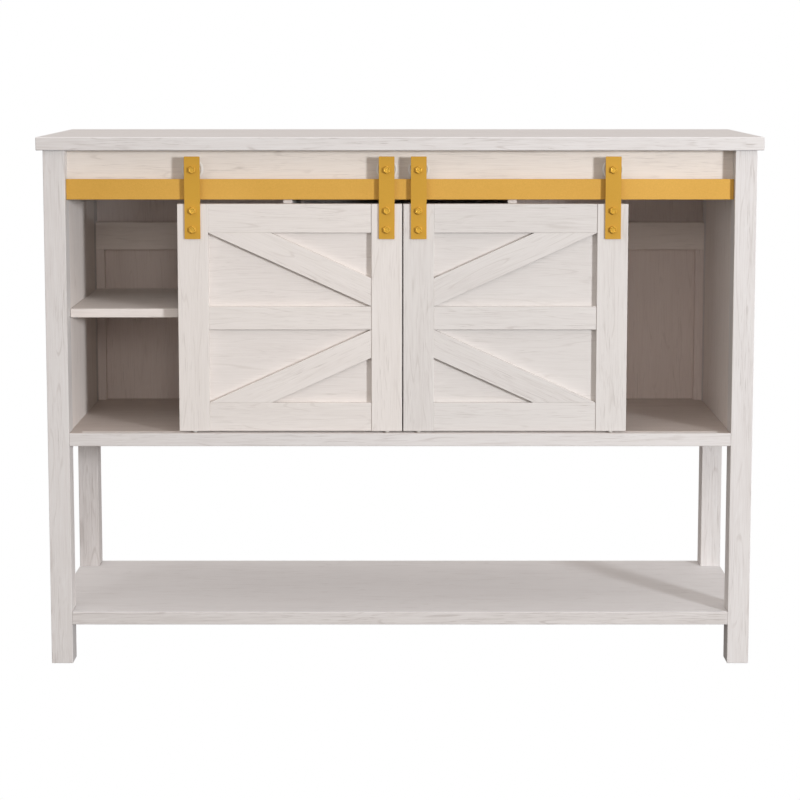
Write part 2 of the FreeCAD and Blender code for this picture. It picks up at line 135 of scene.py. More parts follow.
# ------------------------ modelling steps
@dataclass
class Stock:
    """A workpiece: one mesh object and the steps that shape it."""

    obj: bpy.types.Object

    @staticmethod
    def clear() -> None:
        """Leave edit mode and deselect everything."""
        if bpy.context.mode != "OBJECT":
            bpy.ops.object.mode_set(mode="OBJECT")
        bpy.ops.object.select_all(action="DESELECT")

    @classmethod
    def adopt(cls, name: str) -> "Stock":
        """Take the primitive just added, name it and put its place into its mesh.

        Args:
            name: name of the piece.

        Returns:
            The workpiece.
        """
        obj = bpy.context.active_object
        obj.name = obj.data.name = name
        bpy.ops.object.transform_apply(location=True, rotation=True, scale=True)
        return cls(obj)

    @classmethod
    def block(cls, name: str, low: Vector, high: Vector) -> "Stock":
        """Add a board-shaped block between two corners.

        Args:
            name: name of the piece.
            low: its lowest corner.
            high: its highest corner.

        Returns:
            The workpiece.
        """
        cls.clear()
        bpy.ops.mesh.primitive_cube_add(size=1.0, location=(low + high) / 2)
        bpy.context.active_object.scale = high - low
        return cls.adopt(name)

    @classmethod
    def bar(cls, name: str, centre: Vector, radius: float, length: float, axis: Axis,
            sides: int = 32) -> "Stock":
        """Add a round or many-sided bar.

        Args:
            name: name of the piece.
            centre: middle of the bar.
            radius: radius to its corners.
            length: length along the axis.
            axis: direction of the bar.
            sides: number of sides.

        Returns:
            The workpiece.
        """
        cls.clear()
        bpy.ops.mesh.primitive_cylinder_add(
            vertices=sides, radius=radius, depth=length, location=centre, rotation=axis.turn
        )
        return cls.adopt(name)

    def pick(self) -> None:
        """Make this the only selected object."""
        self.clear()
        self.obj.select_set(True)
        bpy.context.view_layer.objects.active = self.obj

    def enter(self, kind: str) -> bmesh.types.BMesh:
        """Enter edit mode with nothing selected.

        Args:
            kind: FACE or EDGE.

        Returns:
            The mesh being edited, to choose its parts by place.
        """
        self.pick()
        bpy.ops.object.mode_set(mode="EDIT")
        bpy.ops.mesh.select_mode(type=kind)
        bpy.ops.mesh.select_all(action="DESELECT")
        return bmesh.from_edit_mesh(self.obj.data)

    def choose_faces(self, wanted: Test) -> None:
        """Enter edit mode and select faces.

        Args:
            wanted: test of a face by its centre and normal.
        """
        mesh = self.enter("FACE")
        for face in mesh.faces:
            face.select_set(wanted(face.calc_center_median(), face.normal))
        bmesh.update_edit_mesh(self.obj.data)

    def choose_edges(self, wanted: Test) -> None:
        """Enter edit mode and select edges.

        Args:
            wanted: test of an edge by its middle and direction.
        """
        mesh = self.enter("EDGE")
        for edge in mesh.edges:
            first, last = (corner.co for corner in edge.verts)
            edge.select_set(wanted((first + last) / 2, (last - first).normalized()))
        bmesh.update_edit_mesh(self.obj.data)

    def apply(self, kind: str, **settings: object) -> "Stock":
        """Add a modifier, set it and apply it.

        Args:
            kind: the modifier's type.
            settings: its properties.

        Returns:
            This workpiece.
        """
        self.pick()
        modifier = self.obj.modifiers.new(kind.title(), kind)
        for key, value in settings.items():
            setattr(modifier, key, value)
        bpy.ops.object.modifier_apply(modifier=modifier.name)
        return self

    def carve(self, tools: Iterable["Stock"]) -> "Stock":
        """Cut other workpieces out of this one and throw them away.

        Args:
            tools: the workpieces to cut with.

        Returns:
            This workpiece.
        """
        for tool in tools:
            self.apply("BOOLEAN", operation="DIFFERENCE", solver="EXACT", object=tool.obj)
            tool.discard()
        return self

    def carve_box(self, low: Vector, high: Vector) -> "Stock":
        """Cut a box out of this workpiece."""
        return self.carve([Stock.block("tool", low, high)])

    def ease(self, width: float, segments: int = 3) -> "Stock":
        """Round every sharp edge a little.

        Args:
            width: width of the rounding.
            segments: faces across it.

        Returns:
            This workpiece.
        """
        self.smooth()
        return self.apply("BEVEL", width=width, segments=segments, limit_method="ANGLE",
                          angle_limit=CREASE, harden_normals=True)

    def round_corners(self, axis: Axis, radius: float, segments: int = 6) -> "Stock":
        """Round the four corners whose edges run along an axis.

        Args:
            axis: the axis.
            radius: radius of the corners.
            segments: faces across each.

        Returns:
            This workpiece.
        """
        self.choose_edges(lambda _middle, way: abs(way[axis.index]) > 1 - FLAT)
        bpy.ops.mesh.bevel(offset=radius, segments=segments, affect="EDGES")
        self.clear()
        return self

    def score(self, point: Vector, normal: Vector, **settings: bool) -> "Stock":
        """Divide every face that a plane crosses.

        Args:
            point: a point of the plane.
            normal: direction square to it.
            settings: what becomes of the two sides, if they don't both stay.

        Returns:
            This workpiece.
        """
        self.enter("FACE")
        bpy.ops.mesh.select_all(action="SELECT")
        bpy.ops.mesh.bisect(plane_co=point, plane_no=normal, **settings)
        self.clear()
        return self

    def trim(self, point: Vector, outward: Vector) -> "Stock":
        """Saw off what lies beyond a plane and close the cut."""
        return self.score(point, outward, use_fill=True, clear_outer=True)

    def copy(self, offset: Vector) -> "Stock":
        """Copy this workpiece with its own mesh and move the copy.

        Args:
            offset: how far it is moved.

        Returns:
            The copy.
        """
        self.pick()
        bpy.ops.object.duplicate(linked=False)
        bpy.ops.transform.translate(value=offset)
        bpy.ops.object.transform_apply(location=True, rotation=True, scale=True)
        return Stock(bpy.context.active_object)

    def rename(self, name: str) -> "Stock":
        """Name the piece and its mesh."""
        self.obj.name = self.obj.data.name = name
        return self

    def discard(self) -> None:
        """Throw the workpiece away."""
        bpy.data.objects.remove(self.obj)

    def join(self, others: Iterable["Stock"]) -> "Stock":
        """Make this and other workpieces one mesh.

        Args:
            others: what is joined to it.

        Returns:
            This workpiece.
        """
        self.pick()
        for other in others:
            other.obj.select_set(True)
        bpy.ops.object.join()
        return self

    def smooth(self) -> "Stock":
        """Shade round faces smooth and keep corners sharp.

        Returns:
            This workpiece.
        """
        self.pick()
        bpy.ops.object.shade_smooth_by_angle(angle=CREASE)
        return self

    def coat(self, finish: bpy.types.Material) -> "Stock":
        """Give the whole piece one material.

        Args:
            finish: the material.

        Returns:
            This workpiece.
        """
        self.obj.data.materials.clear()
        self.obj.data.materials.append(finish)
        return self

    def foil(self, wood: "WoodFoil", grain: Grain, slope: float = 0.0,
             face: "WoodFoil | None" = None) -> "Stock":
        """Wrap a board in wood foil whose grain turns at its ends.

        Args:
            wood: the finish.
            grain: way of the grain on the long faces.
            slope: further turn of the grain about Y, for a slanted board.
            face: finish of the upper and lower faces, if it differs from the edges' finish: the pale one
                of the top and the bottom shelf is painted light, the darker one of the cabinet floor
                partly painted shade.

        Returns:
            This workpiece.
        """
        self.coat(wood.material(grain, slope))
        if slope:
            return self
        self.obj.data.materials.append(wood.material(grain.across_ends))
        self.obj.data.materials.append((face or wood).material(grain))
        for facet in self.obj.data.polygons:
            if abs(facet.normal[grain.axis.index]) > FACING:
                facet.material_index = 1
            elif abs(facet.normal.z) > FACING:
                facet.material_index = 2
        return self

    def fit(self, body: str, nodes: Iterable[str], slot: str) -> "Stock":
        """Hand the finished piece over: it rides on a body and stands for nodes of the frame.

        Args:
            body: the body it moves with.
            nodes: nodes that it stands for.
            slot: material slot of the record.

        Returns:
            slot: not used.
        """
        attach(self.obj, body)
        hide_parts(*nodes)
        LOG.info("%s: %d faces on %s", self.obj.name, len(self.obj.data.polygons), body)
        return self


# ------------------------ finishes
class Recipe:
    """A node material in the making."""

    def __init__(self, name: str) -> None:
        """Start a material with a surface shader.

        Args:
            name: name of the material.
        """
        self.material = bpy.data.materials.new(name)
        self.material.use_nodes = True
        self.nodes = self.material.node_tree.nodes
        self.nodes.clear()
        self.surface = self.add("ShaderNodeBsdfPrincipled")
        self.link(self.surface.outputs[0], self.add("ShaderNodeOutputMaterial").inputs[0])

    def add(self, kind: str, **settings: object) -> bpy.types.Node:
        """Add a node with its properties set.

        Args:
            kind: type of the node.
            settings: its properties.

        Returns:
            The node.
        """
        node = self.nodes.new(kind)
        for key, value in settings.items():
            setattr(node, key, value)
        return node

    def link(self, source: Socket, target: Socket) -> None:
        """Join an output to an input."""
        self.material.node_tree.links.new(source, target)

    def feed(self, target: Socket, value: object) -> None:
        """Link an input to a socket, or set it to a plain value.

        Args:
            target: the input.
            value: the socket or value.
        """
        if isinstance(value, Socket):
            self.link(value, target)
        else:
            target.default_value = value

    def fill(self, node: bpy.types.Node, **values: object) -> Socket:
        """Set or link inputs by name and return the node's first output.

        Args:
            node: the node.
            values: inputs by name, with underscores for blanks; sockets are linked, plain values set.

        Returns:
            The first output.
        """
        for name, value in values.items():
            self.feed(node.inputs[name.replace("_", " ")], value)
        return node.outputs[0]

    def place(self, turn: Sequence[float] = (0.0, 0.0, 0.0),
              shift: Sequence[float] = (0.0, 0.0, 0.0)) -> Socket:
        """Coordinates of the piece, turned and shifted.

        Args:
            turn: rotation of the pattern.
            shift: its shift, so that two patterns differ.

        Returns:
            The coordinates.
        """
        mapping = self.add("ShaderNodeMapping")
        source = self.add("ShaderNodeTexCoord").outputs["Object"]
        return self.fill(mapping, Vector=source, Rotation=turn, Location=shift)

    def stretch(self, vector: Socket, along: float, across: float) -> Socket:
        """Scale coordinates, in features per metre along and across the grain."""
        return self.fill(self.add("ShaderNodeMapping"), Vector=vector, Scale=(along, across, across))

    def noise(self, vector: Socket, scale: float = 1.0, detail: float = 4.0,
              roughness: float = 0.55) -> Socket:
        """Noise from 0 to 1 about a half."""
        return self.fill(self.add("ShaderNodeTexNoise"), Vector=vector, Scale=scale, Detail=detail,
                         Roughness=roughness)

    def figure(self, vector: Socket, figure: "Figure") -> Socket:
        """Noise of a figure that is drawn out along the grain."""
        stretched = self.stretch(vector, figure.along, figure.across)
        return self.noise(stretched, detail=figure.detail, roughness=figure.roughness)

    def span(self, value: Socket, source: Range, target: Range = (0.0, 1.0)) -> Socket:
        """Map one range onto another, clamped."""
        node = self.add("ShaderNodeMapRange", clamp=True)
        return self.fill(node, Value=value, From_Min=source[0], From_Max=source[1], To_Min=target[0],
                         To_Max=target[1])

    def maths(self, operation: str, first: object, second: object) -> Socket:
        """Reckon with two values.

        Args:
            operation: a sum, product or the like.
            first: a socket or number.
            second: a socket or number.

        Returns:
            The result.
        """
        node = self.add("ShaderNodeMath", operation=operation)
        for socket, value in zip(node.inputs, (first, second)):
            self.feed(socket, value)
        return node.outputs[0]

    def blend(self, amount: Socket, first: object, second: object) -> Socket:
        """Mix two colours, each a socket or red, green and blue.

        Args:
            amount: share of the second.
            first: the first colour.
            second: the second colour.

        Returns:
            The mixed colour.
        """
        node = self.add("ShaderNodeMix", data_type="RGBA", blend_type="MIX")
        self.link(amount, node.inputs[MIX_FACTOR])
        for index, value in ((MIX_FIRST, first), (MIX_SECOND, second)):
            self.feed(node.inputs[index], (*value, 1.0) if isinstance(value, tuple) else value)
        return node.outputs[MIX_RESULT]

    def relief(self, height: Socket, depth: float, strength: float) -> None:
        """Bump the surface by a height map.

        Args:
            height: the map, from 0 to 1.
            depth: height of its highest point in metres.
            strength: how much of it shows.
        """
        bump = self.add("ShaderNodeBump")
        bumped = self.fill(bump, Height=height, Distance=depth, Strength=strength)
        self.link(bumped, self.surface.inputs["Normal"])


def shared(name: str, mix: Callable[[Recipe], None]) -> bpy.types.Material:
    """A material by its name, made on first use.

    Args:
        name: name of the material.
        mix: what fills an empty recipe.

    Returns:
        The material.
    """
    known = bpy.data.materials.get(name)
    if known:
        return known
    recipe = Recipe(name)
    mix(recipe)
    return recipe.material


@dataclass(frozen=True)
class Figure:
    """Noise with its number of features per metre along and across the grain.

    The swing is how far it moves the tone to dark and to light.
    """

    along: float
    across: float
    detail: float = 2.0
    roughness: float = 0.55
    swing: float = 0.0


SWAY = Figure(2.2, 11.0, roughness=0.5)
CLOUD = Figure(2.6, 24.0, swing=0.14)
BROAD = Figure(8.0, 190.0, detail=4.0, roughness=0.6, swing=0.15)
FINE = Figure(18.0, 640.0, detail=4.0, roughness=0.65, swing=0.26)
RINGS = Figure(1.7, 17.0)
GAPS = Figure(13.0, 70.0)
HAIRS = Figure(26.0, 900.0, roughness=0.5)
GROUPS = Figure(5.0, 40.0, detail=1.0)


@dataclass(frozen=True)
class WoodFoil:
    """Matt foil printed as whitewashed wood, with soft streaks along the grain and short dark pores."""

    name: str
    pale: Colour
    ground: Colour
    streak: Colour
    pore: Colour = (0.30, 0.25, 0.22)
    contrast: float = 1.0
    batch: float = 0.0
    batch_way: tuple[float, float, float] = (1.0, 0.37, 0.61)
    roughness: float = 0.60
    roughness_spread: float = 0.05
    sheen: float = 0.30
    sway_reach: float = 0.016
    dark_tones: Range = (0.0, 0.55)
    dark_share: float = 0.62
    light_tones: Range = (0.0, -0.45)
    light_share: float = 0.90
    ring_count: float = 15.0
    half_ring: float = 0.5
    line_band: Range = (0.10, 0.03)
    line_share: float = 0.55
    glint_band: Range = (0.40, 0.47)
    glint_share: float = 0.35
    gap_band: Range = (0.46, 0.62)
    hair_band: Range = (0.60, 0.67)
    group_band: Range = (0.44, 0.58)
    pore_share: float = 0.42
    fine_height: float = 0.6
    relief_depth: float = 0.0004
    relief_strength: float = 0.25

    def material(self, grain: Grain, tilt: float = 0.0) -> bpy.types.Material:
        """The foil with its grain along one direction, made once and then shared.

        Args:
            grain: way of the grain.
            tilt: further turn about Y.

        Returns:
            The material.
        """
        name = f"{self.name}_{grain.name.lower()}" + (f"_{round(math.degrees(tilt))}" if tilt else "")
        return shared(name, lambda recipe: self.mix(recipe, grain, tilt))

    def mix(self, recipe: Recipe, grain: Grain, tilt: float) -> None:
        """Build the foil's nodes.

        Args:
            recipe: the empty material.
            grain: way of the grain.
            tilt: further turn about Y.
        """
        wood = self.swayed(recipe, grain, tilt)
        fine = recipe.figure(wood, FINE)
        lines, glints = self.rings(recipe, wood)
        pores = self.pores(recipe, wood)
        colour = self.streaks(recipe, wood, fine)
        for amount, share, shade in ((lines, self.line_share * self.contrast, self.streak),
                                     (glints, self.glint_share, self.pale),
                                     (pores, self.pore_share * self.contrast, self.pore)):
            colour = recipe.blend(recipe.maths("MULTIPLY", amount, share), colour, shade)
        matt = (self.roughness - self.roughness_spread, self.roughness + self.roughness_spread)
        recipe.fill(recipe.surface, Base_Color=colour, Specular_IOR_Level=self.sheen,
                    Roughness=recipe.span(fine, NOISE_RANGE, matt))
        height = recipe.maths("SUBTRACT", recipe.maths("MULTIPLY", fine, self.fine_height),
                              recipe.maths("MAXIMUM", pores, lines))
        recipe.relief(height, self.relief_depth, self.relief_strength)

    def swayed(self, recipe: Recipe, grain: Grain, tilt: float) -> Socket:
        """Lay coordinates along the grain, which sways a little to the sides.

        Args:
            recipe: the material.
            grain: way of the grain.
            tilt: further turn about Y.

        Returns:
            The coordinates, with X along the grain.
        """
        turn = (grain.value[0], grain.value[1] + tilt, grain.value[2])
        straight = recipe.place(turn, [self.batch * part for part in self.batch_way])
        sway = recipe.add("ShaderNodeVectorMath", operation="MULTIPLY_ADD")
        recipe.link(recipe.figure(straight, SWAY).node.outputs["Color"], sway.inputs[0])
        sway.inputs[1].default_value = (0.0, self.sway_reach, self.sway_reach)
        recipe.link(straight, sway.inputs[2])
        return sway.outputs[0]

    def streaks(self, recipe: Recipe, wood: Socket, fine: Socket) -> Socket:
        """Colour the ground, with pale and dark streaks of three widths.

        Args:
            recipe: the material.
            wood: coordinates along the grain.
            fine: the finest streaks.

        Returns:
            The colour.
        """
        cloud, broad, thin = (
            recipe.span(noise, NOISE_RANGE, (-figure.swing, figure.swing))
            for noise, figure in ((recipe.figure(wood, CLOUD), CLOUD), (recipe.figure(wood, BROAD), BROAD),
                                  (fine, FINE))
        )
        tone = recipe.maths("ADD", recipe.maths("ADD", cloud, broad), thin)
        dark = recipe.span(tone, self.dark_tones, (0.0, self.dark_share * self.contrast))
        light = recipe.span(tone, self.light_tones, (0.0, self.light_share))
        return recipe.blend(dark, recipe.blend(light, self.ground, self.pale), self.streak)

    def rings(self, recipe: Recipe, wood: Socket) -> tuple[Socket, Socket]:
        """Draw the growth rings, broken here and there.

        Args:
            recipe: the material.
            wood: coordinates along the grain.

        Returns:
            Dark lines, and the pale glints halfway between them.
        """
        count = recipe.maths("MULTIPLY", recipe.figure(wood, RINGS), self.ring_count)
        rings = recipe.maths("PINGPONG", count, self.half_ring)
        broken = recipe.span(recipe.figure(wood, GAPS), self.gap_band)
        return (recipe.maths("MULTIPLY", recipe.span(rings, self.line_band), broken),
                recipe.maths("MULTIPLY", recipe.span(rings, self.glint_band), broken))

    def pores(self, recipe: Recipe, wood: Socket) -> Socket:
        """Short dark hairs, gathered in groups."""
        groups = recipe.span(recipe.figure(wood, GROUPS), self.group_band)
        return recipe.maths("MULTIPLY", recipe.span(recipe.figure(wood, HAIRS), self.hair_band), groups)


@dataclass(frozen=True)
class PowderCoat:
    """Gold powder coat on steel: satin, finely pebbled, with a slight drift of tone."""

    name: str
    deep: Colour
    bright: Colour
    metallic: float = 0.10
    roughness: float = 0.52
    sheen: float = 0.30
    roughness_range: Range = (-0.08, 0.10)
    drift_pitch: float = 5.0
    drift_tones: Range = (0.25, 0.65)
    grit_pitch: float = 900.0
    grit_roughness: float = 0.6
    grit_tones: Range = (-0.15, 0.35)
    relief_depth: float = 0.00025
    relief_strength: float = 0.35

    def material(self) -> bpy.types.Material:
        """The coat, made once and then shared."""
        return shared(self.name, self.mix)

    def mix(self, recipe: Recipe) -> None:
        """Build the coat's nodes.

        Args:
            recipe: the empty material.
        """
        place = recipe.place()
        drift = recipe.noise(place, scale=self.drift_pitch, detail=2.0)
        grit = recipe.noise(place, scale=self.grit_pitch, detail=3.0, roughness=self.grit_roughness)
        tone = recipe.maths("ADD", recipe.span(drift, NOISE_RANGE, self.drift_tones),
                            recipe.span(grit, NOISE_RANGE, self.grit_tones))
        least, most = self.roughness_range
        satin = recipe.span(grit, NOISE_RANGE, (self.roughness + least, self.roughness + most))
        recipe.fill(recipe.surface, Base_Color=recipe.blend(tone, self.deep, self.bright),
                    Metallic=self.metallic, Specular_IOR_Level=self.sheen, Roughness=satin)
        recipe.relief(grit, self.relief_depth, self.relief_strength)


@dataclass(frozen=True)
class Moulded:
    """A plain finish with a faint mottle: nylon, bright zinc or bare beech."""

    name: str
    shade: Colour
    tint: Colour
    metallic: float = 0.0
    roughness: float = 0.4
    roughness_spread: float = 0.07
    pitch: float = 260.0
    relief_depth: float = 0.0001
    relief_strength: float = 0.15

    def material(self) -> bpy.types.Material:
        """The finish, made once and then shared."""
        return shared(self.name, self.mix)

    def mix(self, recipe: Recipe) -> None:
        """Build the finish's nodes.

        Args:
            recipe: the empty material.
        """
        mottle = recipe.noise(recipe.place(), scale=self.pitch, detail=3.0)
        matt = (self.roughness - self.roughness_spread, self.roughness + self.roughness_spread)
        recipe.fill(recipe.surface, Base_Color=recipe.blend(mottle, self.shade, self.tint),
                    Metallic=self.metallic, Roughness=recipe.span(mottle, NOISE_RANGE, matt))
        recipe.relief(mottle, self.relief_depth, self.relief_strength)


FRAME_WOOD = WoodFoil("frame_foil", (0.79, 0.775, 0.765), (0.745, 0.72, 0.705), (0.52, 0.475, 0.45),
                      contrast=0.75)
TOP_WOOD = WoodFoil("top_foil", (0.80, 0.785, 0.775), (0.745, 0.72, 0.705), (0.52, 0.475, 0.45),
                    batch=1.9)
# Darker foil for the back-left leg alone: painted shade, not a different wood.
SHADED_LEG_WOOD = WoodFoil("back_leg_foil", (0.70, 0.68, 0.67), (0.64, 0.61, 0.595), (0.46, 0.42, 0.40),
                    batch=3.1)
SHELF_WOOD = WoodFoil("shelf_foil", (0.76, 0.735, 0.72), (0.70, 0.67, 0.65), (0.48, 0.44, 0.42),
                      batch=4.3)
# Pale foil for the upper and lower faces of the top and the bottom shelf, paler than their edges: painted
# light, the flat faces made to look lit from above.
PAINTED_LIGHT_FACE_WOOD = WoodFoil("face_foil", (0.92, 0.92, 0.925), (0.895, 0.892, 0.90), (0.66, 0.64, 0.63),
                     contrast=0.45, batch=5.2, roughness=0.80, sheen=0.15)
# The fascia's foil is paler and warmer than the frame's: partly painted light, making up for the shade
# under the top's overhang.
FASCIA_WOOD = WoodFoil("fascia_foil", (0.87, 0.81, 0.75), (0.83, 0.765, 0.70), (0.58, 0.51, 0.455),
                       contrast=0.6, batch=6.1)
# The foils inside the bays are warmer and pinker than the frame's: partly painted shade, the warm cast of
# the shaded bays; the side panels' foil is also paler, painted light where the key lamp reaches them.
INNER_WOOD = WoodFoil("inner_foil", (0.87, 0.82, 0.785), (0.825, 0.77, 0.73), (0.60, 0.53, 0.48),
                      contrast=0.5, batch=7.7)
STRETCHER_WOOD = WoodFoil("stretcher_foil", (0.88, 0.80, 0.75), (0.84, 0.76, 0.71), (0.60, 0.52, 0.47),
                          contrast=0.4, batch=8.4)
# Darker, warmer foil for the faces of the cabinet floor: partly painted shade on the floors of the bays.
FLOOR_WOOD = WoodFoil("floor_foil", (0.71, 0.64, 0.595), (0.66, 0.585, 0.54), (0.48, 0.40, 0.36),
                      contrast=0.6, batch=24.7)
BACK_WOOD = WoodFoil("back_foil", (0.83, 0.75, 0.71), (0.80, 0.705, 0.665), (0.58, 0.49, 0.45),
                     contrast=0.5, batch=21.3)
# The left door's foil is paler and the right door's darker: painted light and shade that evens out the key
# lamp's fall-off from right to left.
DOOR_WOODS = {
    Side.LEFT: WoodFoil("left_door_foil", (0.84, 0.80, 0.77), (0.80, 0.76, 0.725), (0.56, 0.505, 0.47),
                        contrast=0.5, batch=9.2),
    Side.RIGHT: WoodFoil("right_door_foil", (0.78, 0.755, 0.73), (0.74, 0.712, 0.688),
                         (0.52, 0.475, 0.445), contrast=0.65, batch=12.6),
}
# The left panel's foil is paler and the right panel's darker: painted light and shade that evens out the
# key lamp's fall-off from right to left.
PANEL_WOODS = {
    Side.LEFT: WoodFoil("left_panel_foil", (0.825, 0.785, 0.755), (0.785, 0.742, 0.71),
                        (0.56, 0.505, 0.47), contrast=0.45, batch=15.4),
    Side.RIGHT: WoodFoil("right_panel_foil", (0.765, 0.74, 0.715), (0.727, 0.697, 0.673),
                         (0.52, 0.475, 0.445), contrast=0.45, batch=18.8),
}
TRACK_GOLD = PowderCoat("track_gold", (0.60, 0.325, 0.047), (0.80, 0.465, 0.095))
STRAP_GOLD = PowderCoat("strap_gold", (0.53, 0.285, 0.027), (0.70, 0.395, 0.048))
BOLT_GOLD = PowderCoat("bolt_gold", (0.68, 0.38, 0.040), (0.93, 0.58, 0.095),
                       metallic=0.45, roughness=0.26)
NYLON = Moulded("roller_nylon", (0.78, 0.77, 0.73), (0.86, 0.85, 0.82), roughness=0.38)
ZINC = Moulded("bright_zinc", (0.50, 0.51, 0.53), (0.68, 0.69, 0.70), metallic=0.9, roughness=0.34)
BEECH = Moulded("bare_beech", (0.52, 0.37, 0.22), (0.66, 0.50, 0.32), roughness=0.6)


# ------------------------ sub-assemblies
@dataclass
class Carcass:
    """Legs, boards and panels of the cabinet."""

    body: str = "cabinet"
    slot: str = "whitewashed_board"
    ease: float = 0.0011
    top_ease: float = 0.0016
    thin_ease: float = 0.0006
    notch_overrun: float = 0.010
    groove_width: float = 0.008
    groove_depth: float = 0.008
    groove_reach: float = 0.534

    def boards(self, nodes: Sequence[str], wood: WoodFoil, grain: Grain, ease: float,
               slot: str | None = None, cuts: Iterable[Box] = (),
               face: WoodFoil | None = None) -> None:
        """Make one board and copy it to the places of all nodes of its size.

        Args:
            nodes: nodes whose places the boards have, the modelled one first.
            wood: their foil.
            grain: way of the grain.
            ease: width of the rounded edges.
            slot: material slot, if not the boards' own.
            cuts: boxes cut out of the first board.
            face: foil of the upper and lower faces, if it differs.
        """
        low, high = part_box(nodes[0])
        first = Stock.block("board", low, high)
        for cut_low, cut_high in cuts:
            first.carve_box(cut_low, cut_high)
        first.ease(ease)
        pieces = [first, *(first.copy(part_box(node)[0] - low) for node in nodes[1:])]
        for node, piece in zip(nodes, pieces):
            piece.rename(f"{node}_board").foil(wood, grain, face=face)
            piece.fit(self.body, [node], slot or self.slot)

    def leg_notches(self, node: str) -> list[Box]:
        """Find the boxes that clear the four legs out of a board.

        Args:
            node: the board's node.

        Returns:
            One box for each leg, running a little past the board.
        """
        low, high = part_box(node)
        reach = self.notch_overrun
        notches = []
        for end in ("front", "back"):
            for side in Side:
                leg_low, leg_high = (corner.copy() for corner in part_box(f"{end}_{side.word}_leg"))
                leg_low.z, leg_high.z = low.z - reach, high.z + reach
                outer = leg_high if side is Side.RIGHT else leg_low
                outer.x += side.value * reach
                if end == "front":
                    leg_low.y -= reach
                else:
                    leg_high.y += reach
                notches.append((leg_low, leg_high))
        return notches

    def guide_groove(self) -> Box:
        """Find the box of the groove that the doors' guide pins run in.

        Returns:
            Its lowest and highest corner.
        """
        track_low, track_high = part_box("track_rail")
        middle = (track_low.y + track_high.y) / 2
        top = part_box("cabinet_floor")[1].z
        half = Vector((self.groove_reach, self.groove_width / 2, self.groove_depth))
        centre = Vector((0.0, middle, top))
        return centre - half, centre + half

    def build(self) -> None:
        """Make every board of the cabinet."""
        self.boards(["front_left_leg", "front_right_leg", "back_right_leg"], FRAME_WOOD, Grain.UPRIGHT,
                    self.ease)
        # The back-left leg gets the darker foil: painted shade.
        self.boards(["back_left_leg"], SHADED_LEG_WOOD, Grain.UPRIGHT, self.ease)
        # The top's upper and lower faces get the paler foil: painted light.
        self.boards(["top_panel"], TOP_WOOD, Grain.LENGTH, self.top_ease, face=PAINTED_LIGHT_FACE_WOOD)
        # The cabinet floor's faces get the darker floor foil: partly painted shade in the bays.
        self.boards(["cabinet_floor"], FRAME_WOOD, Grain.LENGTH, self.ease,
                    cuts=[*self.leg_notches("cabinet_floor"), self.guide_groove()], face=FLOOR_WOOD)
        self.boards(["bottom_shelf"], SHELF_WOOD, Grain.LENGTH, self.ease,
                    # The bottom shelf's faces get the paler foil and its edges a darker one: painted light
                    # on the faces.
                    cuts=self.leg_notches("bottom_shelf"), face=PAINTED_LIGHT_FACE_WOOD)
        self.boards(["front_fascia"], FASCIA_WOOD, Grain.LENGTH, self.thin_ease)
        self.boards(["rear_stretcher"], STRETCHER_WOOD, Grain.LENGTH, self.thin_ease)
        self.boards(["left_shelf"], INNER_WOOD, Grain.LENGTH, self.ease)
        self.boards(["back_panel"], BACK_WOOD, Grain.UPRIGHT, self.thin_ease, slot="back_board")
        self.boards(["left_side_panel", "right_side_panel"], INNER_WOOD, Grain.UPRIGHT, self.thin_ease)
        self.boards(["left_divider", "right_divider"], INNER_WOOD, Grain.UPRIGHT, self.thin_ease,
                    cuts=[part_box("front_fascia"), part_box("rear_stretcher")])
        # The battens take the back panel's darker, warmer foil: painted shade for the dark strips in the
        # back corners of the bays.
        self.boards(["left_back_batten", "right_back_batten"], BACK_WOOD, Grain.UPRIGHT, self.thin_ease)


@dataclass
class Track:
    """Flat bar that the doors hang from."""

    body: str = "cabinet"
    ease: float = 0.0005

    def build(self) -> None:
        """Make the track bar."""
        rail = Stock.block("track_bar", *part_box("track_rail"))
        rail.ease(self.ease).coat(TRACK_GOLD.material())
        rail.fit(self.body, ["track_rail"], "gold_metal")


